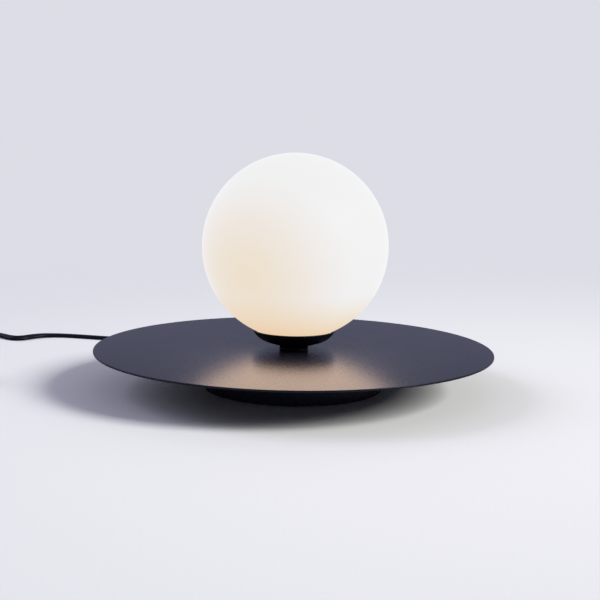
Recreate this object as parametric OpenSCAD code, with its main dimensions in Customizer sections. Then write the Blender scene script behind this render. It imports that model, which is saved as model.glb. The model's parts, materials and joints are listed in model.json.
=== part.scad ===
// Table lamp: an opal glass globe in a shallow cup on a wide flat disc, carried by a low drum.
// Origin: centre of the base on the table. +Z up, the cord leaves at the back (+Y).
// All lengths in millimetres.

/* [Base] */
// Diameter of the base disc
disc_d = 302; // [240:1:340]
// Thickness of the base disc
disc_t = 1.5; // [1:0.1:4]
// Diameter of the drum under the disc
drum_d = 134; // [126:1:180]
// Height of the drum
drum_h = 28; // [26:0.5:40]
// Wall of the drum
drum_wall = 1.5; // [1:0.1:2]
// Height of the drum's rim above the table
drum_lift = 1.5; // [1:0.1:2]
// Thickness of the bottom cover
cover_t = 1.5; // [1:0.1:2]
// Diameter of one rubber foot
foot_d = 14; // [10:0.5:18]
// Height of the rubber feet
foot_h = 2; // [2:0.1:2.5]
// Thickness of the ballast ring
ballast_t = 9.5; // [6:0.5:9.5]
// Bore of the ballast ring
ballast_bore_d = 68; // [60:1:90]
// Diameter of the posts that carry the cover
post_d = 9; // [8:0.5:12]

/* [Globe] */
// Outside diameter of the glass globe
globe_d = 140; // [120:1:170]
// Wall of the glass
globe_wall = 3; // [2:0.1:4]
// Outside diameter of the globe's screwed neck
globe_neck_d = 36; // [35:0.5:38]
// Wall of the globe's neck
globe_neck_wall = 3; // [2:0.1:3]
// Thickness of the gasket under the glass
gasket_t = 1.8; // [1.4:0.1:2.2]

/* [Cup] */
// Diameter of the cup at its rim
cup_rim_d = 63; // [60:0.5:72]
// Height of the cup
cup_h = 12.1; // [11.5:0.1:14]
// Wall of the cup
cup_wall = 1; // [0.8:0.1:1.2]
// Diameter where the cone of the cup turns into its curved side
cup_cone_d = 42; // [41.5:0.5:46]
// Rise of the cup's cone
cup_cone_rise = 3.1; // [2.8:0.1:3.8]
// Height of the neck between disc and cup
neck_h = 2.7; // [2.5:0.1:8]
// Diameter of the neck at its ends
neck_d = 22.4; // [20:0.1:24]
// Depth of the waist turned into the neck
neck_waist = 0.6; // [0.3:0.1:1]
// Wall of the threaded collar in the cup
collar_wall = 1.6; // [1:0.1:1.8]

/* [Stem] */
// Outside diameter of the hollow stem
stem_d = 10; // [9:0.5:11]
// Bore of the stem
stem_bore_d = 7; // [6.5:0.1:7.5]
// Height of a stem nut
nut_h = 3; // [2.5:0.1:4]
// Width of a stem nut across its flats
nut_flats = 14; // [13.5:0.1:14.5]
// Length of the bracket that carries the lampholder
bracket_l = 17.6; // [17.5:0.1:18]
// Height of the bracket
bracket_h = 9; // [8.5:0.5:12]
// Width of the bracket
bracket_w = 8; // [7:0.1:9]

/* [Lampholder and bulb] */
// Height of the lampholder
socket_h = 17.3; // [16.5:0.1:22]
// Thickness of the lampholder's flange
socket_flange_t = 4; // [3:0.1:4.5]
// Width of the lampholder
socket_w = 10.4; // [9.5:0.1:11]
// Spacing of the bulb's two pins
pin_pitch = 9; // [8.6:0.1:9.2]
// Length of the bulb's pins
pin_l = 8; // [6:0.5:9]
// Diameter of the bulb's envelope
bulb_d = 16; // [15:0.5:20]
// Length of the bulb's envelope
bulb_l = 34; // [28:1:45]

/* [Wiring] */
// Width of the flat cord
cord_w = 5.2; // [5:0.1:5.6]
// Thickness of the flat cord
cord_t = 3.2; // [3:0.1:3.4]
// Height of the cord's entry in the drum
entry_z = 20; // [19.5:0.1:20.2]
// Length of the cord boot outside the drum
boot_l = 26; // [20:0.5:40]
// Depth of the terminal block
block_d = 18; // [16:0.5:20]
// Diameter of a lamp lead
lead_d = 1.8; // [1.4:0.1:2]

/* [Switch] */
// Length of the in-line switch
switch_l = 60; // [58:1:66]
// Width of the in-line switch
switch_w = 24; // [23:0.5:28]
// Height of the in-line switch
switch_h = 15.5; // [15:0.1:18]
// Wall of the switch housing
switch_wall = 2; // [1.6:0.1:2.2]
// Angle that the rocker swings through
rocker_swing = 16; // [10:1:20]

/* [Plug] */
// Width of the plug
plug_w = 35; // [33:0.5:37]
// Thickness of the plug
plug_t = 14; // [13:0.5:16]
// Length of the plug's body
plug_l = 30; // [28:0.5:36]
// Diameter of a plug pin
plug_pin_d = 4; // [3.8:0.1:4.2]
// Free length of a plug pin
plug_pin_l = 19; // [17:0.5:20]
// Spacing of the plug pins
plug_pin_pitch = 18.6; // [17.5:0.1:19.5]

/* [Hidden] */
$fn = 96;

// Clearances
cut = 1;
fit = 0.05;
slip = 0.1;
gap = 0.3;
room = 0.5;

// Colours
black = "#161617";
rubber = "#202022";
steel = "#b9bcc0";
brass = "#c8a24a";
white = "#efece4";
opal = "#f4efe4";
iron = "#3c3d40";

// Heights of the base
drum_top = drum_lift + drum_h;
drum_ceiling = drum_top - drum_wall;
disc_top = drum_top + disc_t;
cover_top = foot_h + cover_t;
ballast_top = cover_top + ballast_t;
disc_r = disc_d / 2;
drum_r = drum_d / 2;
drum_in_r = drum_r - drum_wall;
disc_edge = 0.3;
cover_r = drum_in_r - gap;
ballast_r = drum_in_r - 3;
ballast_bore_r = ballast_bore_d / 2;
post_ring_r = (ballast_r + ballast_bore_r) / 2;
foot_ring_r = cover_r - foot_d / 2 - 3;
cover_screw_r = 2;
cover_screw_head_r = 3.6;
cover_screw_head_h = 1.4;
cover_screw_grip = 6;
quarter = 90;

// Stem and neck
stem_r = stem_d / 2;
stem_bore_r = stem_bore_d / 2;
neck_r = neck_d / 2;
washer_t = 1;
washer_r = 9;
bracket_t = 1.2;
bracket_land = 5;
stem_end = 0.9;
nut_r = nut_flats / 2 / cos(30);
cup_z = disc_top + neck_h;
bracket_z = cup_z + cup_wall;
stem_bottom = drum_ceiling - washer_t - nut_h - stem_end;
stem_top = bracket_z + bracket_t + nut_h + stem_end;

// Cup outline: flat foot, cone, then an arc that leaves the cone smoothly and ends at the rim
cup_rim_r = cup_rim_d / 2;
cup_cone_r = cup_cone_d / 2;
cone_angle = atan2(cup_cone_rise, cup_cone_r - neck_r);
chord = [cup_rim_r - cup_cone_r, cup_h - cup_cone_rise];
arc_r = norm(chord) / (2 * sin(atan2(chord[1], chord[0]) - cone_angle));
arc_c = [cup_cone_r - arc_r * sin(cone_angle), cup_cone_rise + arc_r * cos(cone_angle)];
rim_z = cup_z + cup_h;
rim_in_r = arc_c[0] + sqrt(pow(arc_r - cup_wall, 2) - pow(arc_c[1] - cup_h, 2));
floor_in_r = neck_r - cup_wall * tan(cone_angle / 2);
function cup_inside_z(r) = cup_z + cup_wall + (r - floor_in_r) * tan(cone_angle);

// Globe, seated so that the glass just clears the rim
globe_r = globe_d / 2;
globe_neck_r = globe_neck_d / 2;
globe_mouth_r = globe_neck_r - globe_neck_wall;
globe_z = rim_z + sqrt(pow(globe_r, 2) - pow(rim_in_r - gap, 2));
globe_neck_z = cup_inside_z(globe_neck_r) + gap;
collar_in_r = globe_neck_r + gap;
collar_r = collar_in_r + collar_wall;
collar_top = globe_z - sqrt(pow(globe_r, 2) - pow(collar_in_r, 2)) - room;

// Where two circles meet, on the outer side
function outer_meet(c1, r1, c2, r2) =
    let (d = norm(c2 - c1), u = (c2 - c1) / d)
    let (a = (r1 * r1 - r2 * r2 + d * d) / (2 * d), h = sqrt(r1 * r1 - a * a))
    c1 + a * u + h * [-u[1], u[0]];
gasket_r = gasket_t / 2;
gasket_seat = 0.2;
gasket_at = outer_meet([0, globe_z], globe_r + gasket_seat + gasket_r,
    [arc_c[0], cup_z + arc_c[1]], arc_r - cup_wall - gasket_seat - gasket_r);

// Lampholder and bulb
socket_z = bracket_z + bracket_h;
socket_top = socket_z + socket_h;
socket_body_l = 14.4;
socket_corner_r = 8.2;
socket_end_r = socket_w / 2;
socket_screw_r = 1.5;
socket_head_r = 2.7;
socket_head_h = 1.8;
socket_screw_x = socket_body_l / 2 + room + socket_head_r;
flange_end_x = socket_screw_x + socket_head_r - socket_end_r;
ear_x = bracket_l / 2 - bracket_t;
slot_w = 4.4;
slot_t = 3.2;
slot_depth = pin_l + 3;
contact_t = 0.5;
contact_w = 3.2;
contact_gap = 1.9;
pin_wire_r = 0.45;
pin_loop = 2.4;
bulb_z = socket_top + gap;
bulb_block_h = 8;
bulb_block = [14, 8.6];
bulb_collar_h = 4;
bulb_r = bulb_d / 2;
bulb_wall = 1;
bulb_dome_r = bulb_r + 2;
core_r = 4.2;
core_z = bulb_z + bulb_block_h + bulb_collar_h;
core_h = bulb_l - 10;
chip_rows = 3;
chip = [3, 0.7, 5];
hex = 60;

// Wiring inside the drum
tube_x = 4.5;
tube_r = 1.85;
tube_bore_r = 1.25;
block_w = 20;
block_bottom = entry_z - 5;
block_screw_r = 1.4;
clamp_w = 22;
clamp_d = 10;
clamp_setback = 8;
clamp_y = drum_in_r - clamp_setback - clamp_d;
clamp_bar_t = 3;
clamp_screw_x = 7.5;
clamp_screw_r = 1.5;
clamp_head_r = 2.6;
clamp_head_h = 1.6;
clamp_top = entry_z + cord_t / 2 + slip;
clamp_bottom = entry_z - cord_t / 2 - slip;
sheath_end_y = clamp_y - 3;
core_run = 8.5;
block_y = sheath_end_y - core_run - block_d;
core_wire_r = 0.85;
boot_flange_r = 5.8;
boot_neck_r = 4.6;
boot_flange_t = 2;
boot_root_r = 5;
boot_tip_r = 3.9;
boot_in_y = sqrt(pow(drum_in_r, 2) - pow(boot_flange_r, 2)) - fit;
boot_end_y = drum_r + boot_l;
lead_r = lead_d / 2;
lead_x = stem_bore_r - lead_r - slip;

// Route of the lamp leads, from the terminal block round into the stem and up to the lampholder
lead_route = [[tube_x, block_y + 2, entry_z], [tube_x, block_y - 3, entry_z],
    [tube_x - 0.6, block_y / 2, entry_z - 3], [lead_x + 0.6, 4, stem_bottom - 6],
    [lead_x, 0.6, stem_bottom - 5], [lead_x, 0, stem_bottom], [lead_x, 0, stem_top - 1],
    [lead_x, 0, stem_top], [tube_x, 0, socket_z], [tube_x, 0, socket_z + 3]];
core_route = [[1, sheath_end_y, entry_z], [1.4, sheath_end_y - 2, entry_z],
    [tube_x, block_y + block_d + 3, entry_z], [tube_x, block_y + block_d - 4, entry_z]];

// Places of the pieces on the cord
switch_at = [-315, 135, 0];
coil_at = [-277, 5];
plug_at = [-315, -72, plug_t / 2];
switch_cord_z = 4.6;
coil_turns = 3;
coil_in_r = 23;
coil_pitch = 5;
coil_layer = 6.6;
coil_lift = 1.1;
coil_rings = 24;
coil_r = coil_in_r + coil_turns * coil_pitch;
coil_z = coil_lift + cord_w / 2;
tie_w = 12;
tie_t = 0.8;

// Cord routes, chosen by hand: x, y, height of the middle, tilt of the flat section
lead_points = [[0, boot_end_y, entry_z, 0], [0, boot_end_y + 8, entry_z, 0], [-2, 114, 17.5, 0],
    [-9, 130, 11.5, 0], [-21, 147, 6, 0], [-38, 162, 2.8, 0], [-60, 173, 1.8, 0],
    [-90, 180, 1.8, 0], [-121, 186, 1.8, 0], [-146, 190.5, 1.8, 0], [-169, 194.5, 1.8, 0],
    [-186, 199, 1.8, 0], [-201, 203, 1.8, 0], [-215, 204, 1.9, 5], [-226, 201, 2.1, 16],
    [-234.5, 194, 2.3, 28], [-241, 187, 2.3, 30], [-248, 184.5, 2.3, 28], [-255, 189, 2.2, 22],
    [-261.5, 196, 2.1, 16], [-269.5, 204, 1.9, 6], [-281, 210, 1.8, 0], [-295, 208.5, 2, 0],
    [-306.5, 198, 2.8, 0], [-313, 185, 4.1, 0], [-315, 172.5, 4.6, 0], [-315, 160, 4.6, 0]];
run_points = [[-315, 110, 4.6, 0], [-315, 102, 4.6, 0], [-315, 88, 3.6, 15], [-315, 70, 2.6, 45],
    [-315, 50, 2.8, 75], [-315, 34, 3.5, 90], [-315, 22, 3.7, 90], [-315, 12, 3.7, 90]];
tail_points = [[-315, -2, 10.3, 90], [-315, -10, 10.3, 88], [-315, -22, 9.4, 60],
    [-315, -34, 7.8, 25], [-315, -43, 7, 0], [-315, -50, 7, 0]];

// Smooth curve through a list of points, with n steps between each pair
function between(a, b, c, d, t) = 0.5 * (2 * b + (c - a) * t + (2 * a - 5 * b + 4 * c - d) * t * t
    + (3 * b - a - 3 * c + d) * t * t * t);
function smooth_route(p, n) = let (last = len(p) - 1) concat(
    [for (i = [0 : last - 1], k = [0 : n - 1])
        between(p[max(i - 1, 0)], p[i], p[i + 1], p[min(i + 2, last)], k / n)], [p[last]]);
function spot(p) = [p[0], p[1], p[2]];
function unit(v) = v / norm(v);
function heading(p, i) = unit(spot(p[min(i + 1, len(p) - 1)]) - spot(p[max(i - 1, 0)]));
function headings(p, first, last) = [for (i = [0 : len(p) - 1])
    i == 0 ? first : i == len(p) - 1 ? last : heading(p, i)];

// One ring of a swept section: the side axis is level, the tilt turns it about the route
function level_side(t) = abs(t[2]) > 0.999 ? [1, 0, 0] : unit([t[1], -t[0], 0]);
function ring_at(p, t, section) =
    let (side = level_side(t), up = cross(side, t), tilt = len(p) > 3 ? p[3] : 0)
    [for (s = section) spot(p) + side * (s[0] * cos(tilt) - s[1] * sin(tilt))
        + up * (s[0] * sin(tilt) + s[1] * cos(tilt))];

// Solid swept along a route, with flat ends square to the headings given
module sweep(p, section, first, last) {
    dirs = headings(p, first, last);
    n = len(section);
    rings = len(p);
    points = [for (i = [0 : rings - 1]) each ring_at(p[i], dirs[i], section)];
    sides = [for (i = [0 : rings - 2], k = [0 : n - 1])
        let (a = i * n + k, b = i * n + (k + 1) % n) each [[a, b, b + n], [a, b + n, a + n]]];
    ends = [for (k = [1 : n - 2]) each [[0, k + 1, k],
        [(rings - 1) * n, (rings - 1) * n + k, (rings - 1) * n + k + 1]]];
    polyhedron(points = points, faces = concat(sides, ends));
}

// Sections: eight-sided flat cord, six-sided flat cord, eight-sided round wire
flat_half = (cord_w - cord_t) / 2;
flat_r = cord_t / 2 / cos(22.5);
cord_section = [for (k = [0 : 7]) let (a = 22.5 + 45 * k)
    [flat_r * cos(a) + sign(cos(a)) * flat_half, flat_r * sin(a)]];
hex_x = flat_half + cord_t / 4;
coil_section = [[cord_w / 2, 0], [hex_x, cord_t / 2], [-hex_x, cord_t / 2], [-cord_w / 2, 0],
    [-hex_x, -cord_t / 2], [hex_x, -cord_t / 2]];
function wire_section(r) = [for (k = [0 : 7]) r * [cos(45 * k), sin(45 * k)]];

// Coil: spirals in and out again, climbing a layer in the half turn where it reverses
function ease(x) = let (c = min(max(x, 0), 1)) c * c * (3 - 2 * c);
function coil_radius(t) = coil_in_r + coil_pitch * abs(t - coil_turns);
function coil_height(t) = coil_z + coil_layer * ease((t - coil_turns + 0.25) / 0.5);
coil_steps = 2 * coil_turns * coil_rings;
coil_loops = [for (i = [0 : coil_steps]) let (t = i / coil_rings, a = 180 + 360 * t)
    [coil_at[0] + coil_radius(t) * cos(a), coil_at[1] + coil_radius(t) * sin(a), coil_height(t), 90]];
coil_points = concat([run_points[len(run_points) - 1]], coil_loops, [tail_points[0]]);
coil_gap = min([for (i = [0 : coil_rings : coil_steps], j = [0 : coil_rings - 1])
    for (k = [i + coil_rings : coil_rings : coil_steps - j])
        max(abs(coil_radius((i + j) / coil_rings) - coil_radius((k + j) / coil_rings)) - cord_t,
            abs(coil_height((i + j) / coil_rings) - coil_height((k + j) / coil_rings)) - cord_w)]);
function run_length(p) = len(p) < 2 ? 0 : [for (i = 0, s = 0; i < len(p);
    s = s + (i + 1 < len(p) ? norm(spot(p[i + 1]) - spot(p[i])) : 0), i = i + 1) s][len(p) - 1];
echo(coil_least_gap = coil_gap);
echo(cord_lengths = [run_length(smooth_route(lead_points, 2)), run_length(run_points),
    run_length(coil_points), run_length(tail_points)]);

// Shared shapes
module ring(r, bore, z0, z1) {
    translate([0, 0, z0]) difference() {
        cylinder(r = r, h = z1 - z0);
        translate([0, 0, -cut]) cylinder(r = bore, h = z1 - z0 + 2 * cut);
    }
}

module around(n, r, first = 0) {
    for (i = [0 : n - 1]) rotate([0, 0, first + i * 360 / n]) translate([r, 0, 0]) children();
}

module both_sides() {
    children();
    mirror([1, 0, 0]) children();
}

// Screw standing head down on z = 0, its shank upwards and a slot in its head
module screw(shank_r, shank_l, head_r, head_h) {
    difference() {
        union() {
            translate([0, 0, -head_h]) cylinder(r = head_r, h = head_h);
            translate([0, 0, -head_h / 2]) cylinder(r = shank_r, h = shank_l + head_h / 2);
        }
        translate([-head_r - cut, -head_h / 4, -head_h - cut])
            cube([2 * (head_r + cut), head_h / 2, cut + head_h / 2]);
    }
}

module hex_nut(z) {
    translate([0, 0, z]) difference() {
        rotate([0, 0, 30]) cylinder(r = nut_r, h = nut_h, $fn = 6);
        translate([0, 0, -cut]) cylinder(r = stem_r + fit, h = nut_h + 2 * cut);
    }
}

// Flat outline with half-round ends, along X
module stadium(l, w) {
    square([l - w, w], center = true);
    for (s = [-1, 1]) translate([s * (l - w) / 2, 0]) circle(d = w);
}

// Straight passage for the flat cord along +Y, from y0 to y1, at height z
module cord_passage(y0, y1, z, extra) {
    translate([0, y0, z]) rotate([-90, 0, 0]) linear_extrude(height = y1 - y0)
        stadium(cord_w + 2 * extra, cord_t + 2 * extra);
}

// Round boot along +Y with a passage for the flat cord
module tapered_boot(profile, y0, y1, z) {
    difference() {
        translate([0, 0, z]) rotate([-90, 0, 0]) rotate_extrude() polygon(profile);
        cord_passage(y0 - cut, y1 + cut, z, slip);
    }
}

// Base
module base_disc() {
    color(black) rotate_extrude() polygon([[stem_r + slip, drum_top], [disc_r - disc_edge, drum_top],
        [disc_r, drum_top + disc_edge], [disc_r, disc_top - disc_edge],
        [disc_r - disc_edge, disc_top], [stem_r + slip, disc_top]]);
}

module base_drum() {
    color(black) difference() {
        translate([0, 0, drum_lift]) cylinder(r = drum_r, h = drum_h);
        translate([0, 0, drum_lift - cut]) cylinder(r = drum_in_r, h = drum_h - drum_wall + cut);
        translate([0, 0, drum_ceiling - cut]) cylinder(r = stem_r + slip, h = drum_wall + 2 * cut);
        translate([0, drum_in_r - 2 * drum_wall, entry_z]) rotate([-90, 0, 0])
            cylinder(r = boot_neck_r + slip, h = 4 * drum_wall);
    }
}

module bottom_cover() {
    color(black) difference() {
        translate([0, 0, foot_h]) cylinder(r = cover_r, h = cover_t);
        around(4, post_ring_r, quarter / 2) translate([0, 0, foot_h - cut])
            cylinder(r = cover_screw_r + slip, h = cover_t + 2 * cut);
    }
}

module ballast_ring() {
    color(iron) difference() {
        ring(ballast_r, ballast_bore_r, cover_top, ballast_top);
        around(4, post_ring_r, quarter / 2) translate([0, 0, cover_top - cut])
            cylinder(r = cover_screw_r + slip, h = ballast_t + 2 * cut);
    }
}

module cover_posts() {
    color(steel) around(4, post_ring_r, quarter / 2) difference() {
        translate([0, 0, ballast_top]) cylinder(d = post_d, h = drum_ceiling - ballast_top);
        translate([0, 0, ballast_top - cut])
            cylinder(r = cover_screw_r + fit, h = cut + cover_screw_grip + room);
    }
}

module cover_screws() {
    color(steel) around(4, post_ring_r, quarter / 2) translate([0, 0, foot_h])
        screw(cover_screw_r, cover_t + ballast_t + cover_screw_grip, cover_screw_head_r,
            cover_screw_head_h);
}

module rubber_feet() {
    color(rubber) around(4, foot_ring_r) rotate_extrude() polygon([[0, 0], [foot_d / 2 - room, 0],
        [foot_d / 2, room], [foot_d / 2, foot_h], [0, foot_h]]);
}

// Neck and cup
module neck_spacer() {
    waist_r = (neck_h * neck_h / 4 + neck_waist * neck_waist) / (2 * neck_waist);
    color(black) translate([0, 0, disc_top]) rotate_extrude() difference() {
        translate([stem_r + slip, 0]) square([neck_r - stem_r - slip, neck_h]);
        translate([neck_r - neck_waist + waist_r, neck_h / 2]) circle(r = waist_r);
    }
}

// Area under the cup's outline up to a height, drawn in by t
module cup_area(t, top) {
    foot_r = neck_r - t * tan(cone_angle / 2);
    side = [cup_cone_r - t * sin(cone_angle), cup_cone_rise + t * cos(cone_angle)];
    polygon([[0, t], [foot_r, t], side, [0, side[1]]]);
    translate([0, side[1]]) square([arc_c[0], top - side[1]]);
    intersection() {
        translate([arc_c[0], side[1]]) square([arc_r, top - side[1]]);
        translate(arc_c) circle(r = arc_r - t);
    }
}

module globe_cup() {
    color(black) translate([0, 0, cup_z]) rotate_extrude() difference() {
        cup_area(0, cup_h);
        cup_area(cup_wall, cup_h + cut);
        translate([0, -cut]) square([stem_r + slip, 2 * cut + cup_wall]);
    }
}

module thread_collar() {
    color(steel) rotate_extrude() polygon([[collar_in_r, cup_inside_z(collar_in_r) + fit],
        [collar_r, cup_inside_z(collar_r) + fit], [collar_r, collar_top], [collar_in_r, collar_top]]);
}

module stem_pipe() {
    color(steel) ring(stem_r, stem_bore_r, stem_bottom, stem_top);
}

module stem_washer() {
    color(steel) ring(washer_r, stem_r + slip, drum_ceiling - washer_t, drum_ceiling);
}

module lower_nut() {
    color(steel) hex_nut(drum_ceiling - washer_t - nut_h);
}

module upper_nut() {
    color(steel) hex_nut(bracket_z + bracket_t);
}

// Lampholder
module socket_bracket() {
    tab_l = socket_screw_x + socket_head_r - ear_x;
    color(steel) translate([0, 0, bracket_z]) difference() {
        union() {
            linear_extrude(height = bracket_t) intersection() {
                square([bracket_l, stem_d + bracket_land], center = true);
                circle(r = floor_in_r - slip);
            }
            both_sides() translate([ear_x, -bracket_w / 2, 0]) cube([bracket_t, bracket_w, bracket_h]);
            both_sides() translate([ear_x, -bracket_w / 2, bracket_h - bracket_t])
                cube([tab_l, bracket_w, bracket_t]);
        }
        translate([0, 0, -cut]) cylinder(r = stem_r + slip, h = bracket_t + 2 * cut);
        both_sides() translate([socket_screw_x, 0, bracket_h - bracket_t - cut])
            cylinder(r = socket_screw_r + fit, h = bracket_t + 2 * cut);
    }
}

module lamp_socket() {
    color(white) translate([0, 0, socket_z]) difference() {
        union() {
            linear_extrude(height = socket_flange_t)
                stadium(2 * (flange_end_x + socket_end_r), socket_w);
            linear_extrude(height = socket_h) intersection() {
                square([socket_body_l, socket_w], center = true);
                circle(r = socket_corner_r);
            }
        }
        both_sides() translate([socket_screw_x, 0, -cut])
            cylinder(r = socket_screw_r + slip, h = socket_flange_t + 2 * cut);
        both_sides() translate([pin_pitch / 2 - slot_w / 2, -slot_t / 2, socket_h - slot_depth])
            cube([slot_w, slot_t, slot_depth + cut]);
        both_sides() translate([tube_x, 0, -cut])
            cylinder(r = lead_r + 2 * slip, h = socket_h - slot_depth + 2 * cut);
    }
}

module socket_contacts() {
    contact_d = contact_gap + 2 * contact_t;
    contact_h = slot_depth - 2.5;
    color(brass) both_sides() translate([pin_pitch / 2, 0, socket_top - slot_depth]) difference() {
        translate([-contact_w / 2, -contact_d / 2, 0]) cube([contact_w, contact_d, contact_h]);
        translate([-contact_w / 2 - cut, -contact_gap / 2, contact_t])
            cube([contact_w + 2 * cut, contact_gap, contact_h]);
    }
}

module socket_screws() {
    color(steel) both_sides() translate([socket_screw_x, 0, socket_z + socket_flange_t])
        mirror([0, 0, 1]) screw(socket_screw_r, socket_flange_t + bracket_t + cut, socket_head_r,
            socket_head_h);
}

module lamp_leads() {
    color(white) both_sides() sweep(smooth_route(lead_route, 3), wire_section(lead_r), [0, -1, 0],
        [0, 0, 1]);
}

// Mains connection inside the drum
module terminal_block() {
    color(white) difference() {
        translate([-block_w / 2, block_y, block_bottom])
            cube([block_w, block_d, drum_ceiling - block_bottom]);
        both_sides() translate([tube_x, block_y - cut, entry_z]) rotate([-90, 0, 0])
            cylinder(r = tube_r + fit, h = block_d + 2 * cut);
        block_screw_places() translate([0, 0, -cut])
            cylinder(r = block_screw_r + slip, h = entry_z - block_bottom + cut);
        translate([0, block_y + block_d / 2, block_bottom - cut])
            cylinder(r = block_screw_r + slip, h = drum_ceiling - block_bottom + 2 * cut);
    }
}

module block_screw_places() {
    both_sides() for (s = [-1, 1])
        translate([tube_x, block_y + block_d / 2 + s * block_d / 3.6, block_bottom]) children();
}

module terminal_tubes() {
    color(brass) both_sides() difference() {
        translate([tube_x, block_y, entry_z]) rotate([-90, 0, 0]) cylinder(r = tube_r, h = block_d);
        translate([tube_x, block_y - cut, entry_z]) rotate([-90, 0, 0])
            cylinder(r = tube_bore_r, h = block_d + 2 * cut);
        block_screw_places() cylinder(r = block_screw_r + slip, h = entry_z - block_bottom);
    }
}

module terminal_screws() {
    color(steel) {
        block_screw_places() translate([0, 0, room])
            cylinder(r = block_screw_r, h = entry_z - block_bottom - tube_bore_r - room);
        translate([0, block_y + block_d / 2, block_bottom])
            screw(block_screw_r, drum_ceiling - block_bottom, block_screw_r + 1, cut);
    }
}

module clamp_block() {
    color(white) difference() {
        translate([-clamp_w / 2, clamp_y, clamp_top]) cube([clamp_w, clamp_d, drum_ceiling - clamp_top]);
        both_sides() translate([clamp_screw_x, clamp_y + clamp_d / 2, clamp_top - cut])
            cylinder(r = clamp_screw_r + fit, h = drum_ceiling - clamp_top);
    }
}

module clamp_bar() {
    color(white) difference() {
        translate([-clamp_w / 2, clamp_y, clamp_bottom - clamp_bar_t])
            cube([clamp_w, clamp_d, clamp_bar_t]);
        both_sides() translate([clamp_screw_x, clamp_y + clamp_d / 2, clamp_bottom - clamp_bar_t - cut])
            cylinder(r = clamp_screw_r + slip, h = clamp_bar_t + 2 * cut);
    }
}

module clamp_screws() {
    color(steel) both_sides()
        translate([clamp_screw_x, clamp_y + clamp_d / 2, clamp_bottom - clamp_bar_t])
            screw(clamp_screw_r, drum_ceiling - clamp_bottom + clamp_bar_t - 2 * cut, clamp_head_r,
                clamp_head_h);
}

module cord_boot() {
    color(rubber) tapered_boot([[0, boot_in_y - boot_flange_t], [boot_flange_r, boot_in_y - boot_flange_t],
        [boot_flange_r, boot_in_y], [boot_neck_r, boot_in_y], [boot_neck_r, drum_r + slip],
        [boot_flange_r, drum_r + slip], [boot_flange_r, drum_r + slip + boot_flange_t],
        [boot_root_r, drum_r + slip + boot_flange_t], [boot_tip_r, boot_end_y], [0, boot_end_y]],
        boot_in_y - boot_flange_t, boot_end_y, entry_z);
}

module cord_inner() {
    color(black) cord_passage(sheath_end_y, boot_end_y, entry_z, 0);
}

module cord_cores() {
    color(white) both_sides() sweep(smooth_route(core_route, 3), wire_section(core_wire_r), [0, -1, 0],
        [0, -1, 0]);
}

// Globe
module glass_globe() {
    neck_top = globe_z - sqrt(pow(globe_r, 2) - pow(globe_neck_r, 2)) + globe_wall / 2;
    color(opal) difference() {
        union() {
            translate([0, 0, globe_z]) sphere(r = globe_r);
            translate([0, 0, globe_neck_z]) cylinder(r = globe_neck_r, h = neck_top - globe_neck_z);
        }
        translate([0, 0, globe_z]) sphere(r = globe_r - globe_wall);
        translate([0, 0, globe_neck_z - cut])
            cylinder(r = globe_mouth_r, h = neck_top - globe_neck_z + globe_wall + 2 * cut);
    }
}

module globe_gasket() {
    color(white) rotate_extrude() translate(gasket_at) circle(r = gasket_r);
}

// Bulb
module bulb_base() {
    color(white) translate([0, 0, bulb_z]) {
        linear_extrude(height = bulb_block_h) intersection() {
            square(bulb_block, center = true);
            circle(d = bulb_block[0] + cut);
        }
        translate([0, 0, bulb_block_h]) cylinder(r = bulb_r, h = bulb_collar_h);
    }
}

module bulb_pins() {
    color(steel) both_sides() translate([pin_pitch / 2, 0, bulb_z - pin_l - gap]) {
        for (s = [-1, 1]) translate([s * pin_loop / 2, 0, 0]) cylinder(r = pin_wire_r, h = pin_l + gap);
        translate([-pin_loop / 2, 0, pin_wire_r]) rotate([0, 90, 0])
            cylinder(r = pin_wire_r - fit, h = pin_loop);
    }
}

module bulb_core() {
    color(white) translate([0, 0, core_z]) cylinder(r = core_r, h = core_h, $fn = 6);
}

module bulb_chips() {
    row_h = core_h / chip_rows;
    color("#e8c84a") for (row = [0 : chip_rows - 1])
        translate([0, 0, core_z + row_h * (row + 0.5) - chip[2] / 2])
            around(6, core_r * cos(hex / 2), hex / 2) translate([fit, -chip[0] / 2, 0])
                cube([chip[1], chip[0], chip[2]]);
}

// Area under the envelope's outline, drawn in by t
module envelope_area(t) {
    intersection() {
        square([bulb_r - t, bulb_l - t]);
        union() {
            square([bulb_r, bulb_l - bulb_dome_r]);
            translate([0, bulb_l - bulb_dome_r]) circle(r = bulb_dome_r - t);
        }
    }
}

module bulb_envelope() {
    color(opal) translate([0, 0, core_z]) rotate_extrude() intersection() {
        difference() {
            envelope_area(0);
            envelope_area(bulb_wall);
        }
        square([bulb_r, bulb_l]);
    }
}

// Cord from the lamp to the in-line switch
module cord_lead() {
    color(black) sweep(smooth_route(lead_points, 2), cord_section, [0, 1, 0], [0, -1, 0]);
}

// In-line switch, along Y
switch_split = switch_cord_z + cord_t / 2;
crown_r = 40;
window = [13, 21];
rocker_w = window[0] - 2 * gap;
rocker_half = window[1] / 2 - 1.1;
axle_r = 1;
axle_z = switch_h - 3.9;
axle_l = switch_w - switch_wall;
boss_r = 2.6;
switch_screw_r = 1.2;
switch_boss_at = [7, 15];
switch_floor = 1.6;
switch_roof = 2.6;
switch_ceiling = switch_h - switch_roof;
contact_block = [6, 9, 4];
contact_y = 19;

module at_switch() {
    translate(switch_at) children();
}

module switch_outline(inset) {
    rotate([0, 0, 90]) stadium(switch_l - 2 * inset, switch_w - 2 * inset);
}

module switch_corners() {
    for (s = [-1, 1]) translate([s * switch_boss_at[0], s * switch_boss_at[1], 0]) children();
}

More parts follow.
